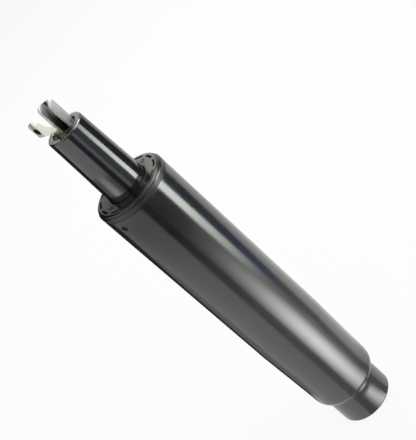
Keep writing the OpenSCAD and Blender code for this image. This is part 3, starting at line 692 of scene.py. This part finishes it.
def floor_cards():
    """Cards on the floor and round the neck, which the neck and the shoulder above it mirror."""
    broad = glow("card_floor", (1.0, 1.0, 0.99), even(0.5), crest=even(3.6), middle=20.0, half=27.0)
    floor_card("card_floor_glow", broad, (0.020, -4.0, 33.0), (0.031, -5.5, 43.0), (SHOULDER_R, -6.0, 47.0))
    line = glow("card_floor_line", (1.0, 1.0, 1.05), even(0.42))
    floor_card("card_floor_line", line, (0.020, -20.0, -4.0), (0.031, -25.0, -5.5), (SHOULDER_R, -28.0, -6.0))
    floor_card("card_floor_right", line, (0.020, 33.0, 50.0), (0.031, 43.0, 64.0), (SHOULDER_R, 47.0, 71.0))
    bent_card(
        "card_neck_shade", line,
        (0.031, 0.0075, -27.0, 66.0), (0.031, 0.0150, -27.0, 68.0), (0.0232, 0.0156, -20.0, 48.0))
    shoulder = glow("card_shoulder", (1.0, 1.0, 0.99), even(0.5), crest=even(4.0), middle=21.0, half=34.0)
    floor_card("card_shoulder_glow", shoulder, (SHOULDER_R, -4.0, 52.0), (NEAR, -3.0, 53.0))
    floor_card("card_shoulder_line", line, (SHOULDER_R, -25.0, -4.0), (NEAR, -24.0, -3.0))
    floor_card("card_shoulder_right", line, (SHOULDER_R, 52.0, 72.0), (NEAR, 53.0, 70.0))


def right_cards():
    """The bright strip on the right, the dark band beside it and the pale edge beyond."""
    strip = glow(
        "card_strip", (0.94, 1.0, 0.92),
        ((0.08, 0.8), (0.115, 1.1), (0.155, 3.6), (0.19, 5.9), (0.222, 6.4), (0.25, 5.2), (CARD_TOP, 2.6)))
    ring_card(
        "card_bright_strip", strip, NEAR,
        (0.07, 48.0, 58.0), (0.12, 41.0, 59.0), (TUBE_END, 40.5, 59.5),
        (SPINDLE_START, 45.0, 66.5), (CARD_TOP, 46.0, 66.0))
    low_dark = glow("card_low_dark", (0.92, 1.0, 1.1), ((0.03, 0.50), (0.07, 0.42), (0.10, 0.34)))
    ring_card("card_right_low", low_dark, NEAR, (0.0, 52.0, 70.0), (0.07, 58.0, 77.0), (0.10, 58.6, 81.0))
    navy = glow("card_navy", (0.72, 0.95, 1.5), ((0.10, 0.34), (0.18, 0.06)))
    ring_card(
        "card_right_dark", navy, NEAR,
        (0.10, 58.6, 81.0), (0.12, 59.0, 84.0), (0.19, 59.5, 92.0), (TUBE_END, 59.5, 92.0),
        (SPINDLE_START, 66.5, 112.0), (CARD_TOP, 66.0, 110.0))
    soft = glow("card_right_soft", (1.0, 1.0, 0.98), ((0.22, 1.0), (0.25, 0.85), (0.27, 0.6), (0.3, 0.7)))
    ring_card(
        "card_right_soft", soft, NEAR,
        (SPINDLE_START, 112.0, 142.0), (CARD_TOP, 110.0, 142.0), (0.300, 108.0, 142.0))
    edge = glow("card_edge", (1.0, 0.99, 0.96), ((0.0, 1.3), (0.10, 1.25), (0.16, 1.0)))
    ring_card(
        "card_right_edge", edge, NEAR,
        (0.0, 70.0, 150.0), (0.07, 77.0, 150.0), (0.12, 84.0, 150.0), (0.16, 88.0, 150.0))


def left_cards():
    """The black far left, a shade beside it, and the grey left of the front line."""
    black = glow("card_black", (1.0, 1.0, 1.2), even(0.03))
    ring_card(
        "card_left_black", black, NEAR,
        (0.0, -180.0, -121.0), (0.06, -180.0, -119.0), (0.104, -180.0, -117.0), (0.15, -180.0, -114.0),
        (0.19, -180.0, -105.0), (0.23, -180.0, -105.0))
    ring_card("card_left_black_high", black, NEAR, (0.23, -150.0, -106.0), (RAISED_TOP, -150.0, -108.0))
    floor_card("card_floor_black", black, (0.030, -180.0, -131.0), (NEAR, -180.0, -124.0))
    dusk = glow("card_dusk", (1.0, 1.0, 0.96), ((0.10, 0.98), (0.155, 0.8), (0.195, 0.54)))
    ring_card(
        "card_left_dusk", dusk, NEAR,
        (0.104, -94.0, -22.0), (0.15, -96.0, -20.8), (0.19, -105.0, -19.5), (0.215, -105.0, -19.0))
    shade = glow("card_left_shade", (1.0, 1.0, 0.98), even(0.42))
    ring_card(
        "card_left_shade", shade, NEAR,
        (0.0, -121.0, -98.0), (0.06, -119.0, -96.0), (0.104, -117.0, -94.0), (0.15, -114.0, -96.0),
        (0.19, -105.0, -104.9))
    smudge = glow(
        "card_smudge", (1.0, 1.0, 0.96), even(0.42), crest=((0.222, 1.5), (0.238, 0.9)),
        middle=-60.0, half=30.0)
    ring_card("card_spindle_left", smudge, NEAR, (0.2155, -106.0, -20.0), (0.236, -106.0, -21.5))


def head_cards():
    """Cards behind and above, for the collar's face and shoulder, the rim and the front of the head."""
    face_shade = glow("card_back_left", (1.0, 1.0, 0.98), even(0.36))
    ring_card("card_back_left", face_shade, NEAR, (0.2572, -180.0, -150.0), (0.290, -180.0, -150.0))
    backlit = glow("card_back_right", (1.0, 0.99, 0.94), ((0.375, 1.9), (0.39, 1.1)))
    back_card("card_back_right", backlit, behind=0.30, right=0.30, top=0.50, bottom=0.28)
    rim = glow("card_rim", (1.0, 0.98, 0.90), even(6.8))
    ring_card("card_rim_right", rim, FAR, (0.448, 40.0, 103.0), (0.713, 40.0, 103.0))
    collar = glow("card_collar", (1.0, 1.0, 0.97), even(13.0))
    ring_card("card_collar_right", collar, FAR, (0.66, 37.0, 124.0), (0.90, 37.0, 124.0))
    sky = glow("card_front_sky", (1.0, 1.0, 1.0), even(0.22))
    ring_card("card_front_sky", sky, NEAR, (0.277, -50.0, 28.0), (RAISED_TOP, -40.0, 28.0))


def area_lamp(name, turn, distance, height, target, size, power):
    """A soft lamp that no reflection shows, aimed at the target height on the axis.

    turn is in degrees right of the camera.
    """
    data = bpy.data.lights.new(name, "AREA")
    data.shape = "SQUARE"
    data.size = size
    data.energy = power
    lamp = linked(name, data)
    angle = CAMERA_ANGLE + math.radians(turn)
    lamp.location = (distance * math.cos(angle), distance * math.sin(angle), height)
    aim = Vector((0.0, 0.0, target)) - lamp.location
    lamp.rotation_euler = aim.to_track_quat("-Z", "Y").to_euler()
    lamp.visible_camera = False
    lamp.visible_glossy = False


def seen_background(r):
    """A factor that is 1 where the camera, a reflection or a refraction sees the background."""
    path = r.add("ShaderNodeLightPath").outputs
    seen = r.math("MAXIMUM", path["Is Camera Ray"], path["Is Glossy Ray"])
    return r.math("MAXIMUM", seen, path["Is Transmission Ray"])


def make_world(settings):
    world = bpy.data.worlds.new("studio_air")
    world.use_nodes = True
    r = Recipe(world.node_tree)
    level = r.span(seen_background(r), 0.0, 1.0, settings.fill, 1.0)
    r.fill(r.nodes["Background"], Color=settings.background, Strength=level)
    bpy.context.scene.world = world


def make_floor(settings):
    """White paper that takes the object's shadow and glows where it is seen."""
    r = Finish("studio_paper", Roughness=0.9, Specular_IOR_Level=0.0)
    r.show(Base_Color=scaled(settings.background, PAPER_SHADE))
    white = r.make("ShaderNodeEmission", Color=settings.background)
    mixed = r.add("ShaderNodeMixShader")
    sources = (r.product(seen_background(r), PAPER_GLOW), r.shader.outputs[0], white)
    for socket, source in zip(mixed.inputs, sources):
        r.links.new(source, socket)
    mesh = bpy.data.meshes.new("studio_floor")
    corners = [(-1, -1), (1, -1), (1, 1), (-1, 1)]
    mesh.from_pydata([(x * FLOOR_HALF, y * FLOOR_HALF, 0.0) for x, y in corners], [], [(0, 1, 2, 3)])
    mesh.materials.append(r.end_with(mixed.outputs[0]))
    floor = linked("studio_floor", mesh)


def make_camera(settings):
    data = bpy.data.cameras.new("photo_camera")
    data.lens = settings.lens
    data.sensor_width = SENSOR_WIDTH
    data.clip_start = NEAREST
    data.clip_end = FARTHEST
    camera = linked("photo_camera", data)
    right = CAMERA_RIGHT.normalized()
    up = -CAMERA_DOWN.normalized()
    turned = Matrix((right, up, right.cross(up))).transposed().to_4x4()
    camera.matrix_world = Matrix.Translation(CAMERA_PLACE) @ turned
    bpy.context.scene.camera = camera


# Operators

class TubesOperator(bpy.types.Operator):
    """Paints the stand tube and the spindle"""
    bl_idname = "gaslift.tubes"
    bl_label = "Tubes"

    def execute(self, context):
        s = context.scene.gaslift_paint
        tube = sprayed_paint("tube_paint", s.tube, s.tube_roughness, peel=420.0, bare_foot_and_dimple_shade=True)
        dress(tube, "stand_tube")
        dress(sprayed_paint("spindle_paint", s.spindle, s.spindle_roughness, peel=300.0), "spindle_tube")
        return {"FINISHED"}


class CollarOperator(bpy.types.Operator):
    """Finishes the guide bush and puts the moulding tool's ejector marks on its collar"""
    bl_idname = "gaslift.collar"
    bl_label = "Collar"

    def execute(self, context):
        s = context.scene.gaslift_collar
        # face=0.12 gives the collar's up-facing parts a dark painted shade
        dress(moulded_nylon("collar_nylon", s.colour, face=0.12, polish=0.17), "guide_bush")
        # The marks' near-black colour is painted shade, so that they read as recessed
        tree = ejector_mark_tree(nitrile("mark_grease", MARK_PAINTED_SHADE))
        piece = linked("ejector_marks", bpy.data.meshes.new("ejector_marks"))
        modifier = piece.modifiers.new("Ejector marks", "NODES")
        modifier.node_group = tree
        set_inputs(
            modifier, tree, Count=s.mark_count, Circle=s.mark_circle, Mark=s.mark_radius, Turn=s.mark_turn)
        keep(bake_nodes(piece), "stand", "collar_plastic")
        return {"FINISHED"}


class LeverOperator(bpy.types.Operator):
    """Makes the moulded release lever with rounded edges"""
    bl_idname = "gaslift.lever"
    bl_label = "Release lever"

    def execute(self, context):
        s = context.scene.gaslift_head
        plastic = cream_acetal("lever_acetal", s.lever)
        lever = edged_copy("release_lever", "moulded_lever", plastic, s.lever_edge, segments=3)
        keep(lever, "lever", "lever_cream", "release_lever")
        dress(plastic, "release_lever")
        return {"FINISHED"}


class BracketOperator(bpy.types.Operator):
    """Makes the pressed cable bracket with blunted edges"""
    bl_idname = "gaslift.bracket"
    bl_label = "Cable bracket"

    def execute(self, context):
        s = context.scene.gaslift_head
        zinc = zinc_sheet("bracket_zinc_plate", s.bracket)
        bracket = edged_copy("cable_bracket", "pressed_bracket", zinc, s.bracket_edge, segments=2)
        keep(bracket, "spindle", "bracket_zinc", "cable_bracket")
        dress(zinc, "cable_bracket")
        return {"FINISHED"}


class HeadOperator(bpy.types.Operator):
    """Finishes the head plug, the lever's pivot pin and the valve pin"""
    bl_idname = "gaslift.head"
    bl_label = "Head plug and pins"

    def execute(self, context):
        dress(cast_metal("plug_casting", (0.035, 0.035, 0.035, 1.0)), "head_plug")
        pin = turned_metal("pin_steel_ground", (0.62, 0.62, 0.63, 1.0), roughness=0.25)
        dress(pin, "pivot_pin", "valve_pin")
        return {"FINISHED"}


class BearingOperator(bpy.types.Operator):
    """Finishes the swivel bearing and the pieces at the foot"""
    bl_idname = "gaslift.bearing"
    bl_label = "Swivel bearing and foot"

    def execute(self, context):
        race = turned_metal("race_steel", (0.60, 0.60, 0.62, 1.0), roughness=0.22)
        dress(race, "bearing_race_lower", "bearing_race_upper", "thrust_washer")
        ball = turned_metal("ball_polish", (0.76, 0.76, 0.78, 1.0), roughness=0.08, pitch=0.0006, bloom=0.05)
        dress(ball, "bearing_balls")
        dress(turned_metal("cage_stamping", (0.70, 0.53, 0.26, 1.0), roughness=0.32), "bearing_cage")
        foot = turned_metal("foot_steel", (0.50, 0.50, 0.51, 1.0), roughness=0.38, pitch=0.0004, bloom=0.35)
        dress(foot, "bottom_plate", "foot_washer")
        dress(turned_metal("clip_spring_steel", (0.20, 0.20, 0.21, 1.0), roughness=0.36), "rod_clip")
        return {"FINISHED"}


class GasUnitOperator(bpy.types.Operator):
    """Finishes the rod, the piston, the gas tube and the valve"""
    bl_idname = "gaslift.gas_unit"
    bl_label = "Gas unit"

    def execute(self, context):
        chrome = turned_metal(
            "rod_hard_chrome", (0.74, 0.75, 0.77, 1.0), roughness=0.12, pitch=0.0003, bloom=0.05)
        dress(chrome, "piston_rod")
        dress(turned_metal("gas_tube_drawn", (0.55, 0.55, 0.57, 1.0), roughness=0.30), "gas_tube")
        dress(turned_metal("sheet_washer", (0.58, 0.58, 0.60, 1.0), roughness=0.34), "seal_washer")
        aluminium = turned_metal("turned_aluminium", (0.72, 0.73, 0.74, 1.0), roughness=0.30)
        dress(aluminium, "piston", "rod_guide", "valve_body")
        dress(turned_metal("valve_brass", (0.70, 0.54, 0.27, 1.0), roughness=0.28), "valve_cap")
        dress(moulded_nylon("natural_nylon", (0.55, 0.52, 0.42, 1.0)), "tube_seat", "valve_spacer")
        return {"FINISHED"}


class RubberOperator(bpy.types.Operator):
    """Finishes the bumper and the seals"""
    bl_idname = "gaslift.rubber"
    bl_label = "Bumper and seals"

    def execute(self, context):
        rubber = nitrile("black_nitrile", (0.022, 0.022, 0.023, 1.0))
        dress(rubber, "bumper", "piston_seal", "rod_seal", "valve_body_seals", "valve_pin_seals")
        return {"FINISHED"}


class StageOperator(bpy.types.Operator):
    """Builds the pale floor, the soft light, the reflection cards and the camera"""
    bl_idname = "gaslift.stage"
    bl_label = "Studio"

    def execute(self, context):
        settings = context.scene.gaslift_studio
        make_camera(settings)
        make_world(settings)
        make_floor(settings)
        front_cards()
        floor_cards()
        right_cards()
        left_cards()
        head_cards()
        area_lamp("key_back", turn=165.0, distance=0.9, height=0.9, target=0.24, size=0.5, power=5.0)
        area_lamp("key_right", turn=55.0, distance=0.9, height=0.85, target=0.24, size=0.5, power=4.6)
        area_lamp("top_soft", turn=20.0, distance=0.3, height=1.3, target=0.2, size=0.8, power=2.5)
        context.scene.view_settings.view_transform = "Standard"
        return {"FINISHED"}


class ColumnPanel(bpy.types.Panel):
    """Lists the steps that dress the column"""
    bl_idname = "GASLIFT_PT_column"
    bl_label = "Gas lift column"
    bl_space_type = "VIEW_3D"
    bl_region_type = "UI"
    bl_category = "Gas lift"

    def draw(self, context):
        for settings in SETTINGS:
            group = getattr(context.scene, settings)
            box = self.layout.box()
            for key in group.bl_rna.properties.keys():
                if key not in ("rna_type", "name"):
                    box.prop(group, key)
        for operator in STEPS:
            self.layout.operator(operator.bl_idname)


STEPS = (
    TubesOperator, CollarOperator, LeverOperator, BracketOperator, HeadOperator,
    BearingOperator, GasUnitOperator, RubberOperator, StageOperator,
)
SETTINGS = {
    "gaslift_paint": PaintSettings,
    "gaslift_collar": CollarSettings,
    "gaslift_head": HeadSettings,
    "gaslift_studio": StudioSettings,
}


def register():
    for cls in (*SETTINGS.values(), *STEPS, ColumnPanel):
        bpy.utils.register_class(cls)
    for key, group in SETTINGS.items():
        setattr(bpy.types.Scene, key, bpy.props.PointerProperty(type=group))


def unregister():
    for key in SETTINGS:
        delattr(bpy.types.Scene, key)
    for cls in reversed((*SETTINGS.values(), *STEPS, ColumnPanel)):
        bpy.utils.unregister_class(cls)


def main():
    register()
    for operator in STEPS:
        group, name = operator.bl_idname.split(".")
        getattr(getattr(bpy.ops, group), name)()


if __name__ == "__main__":
    main()
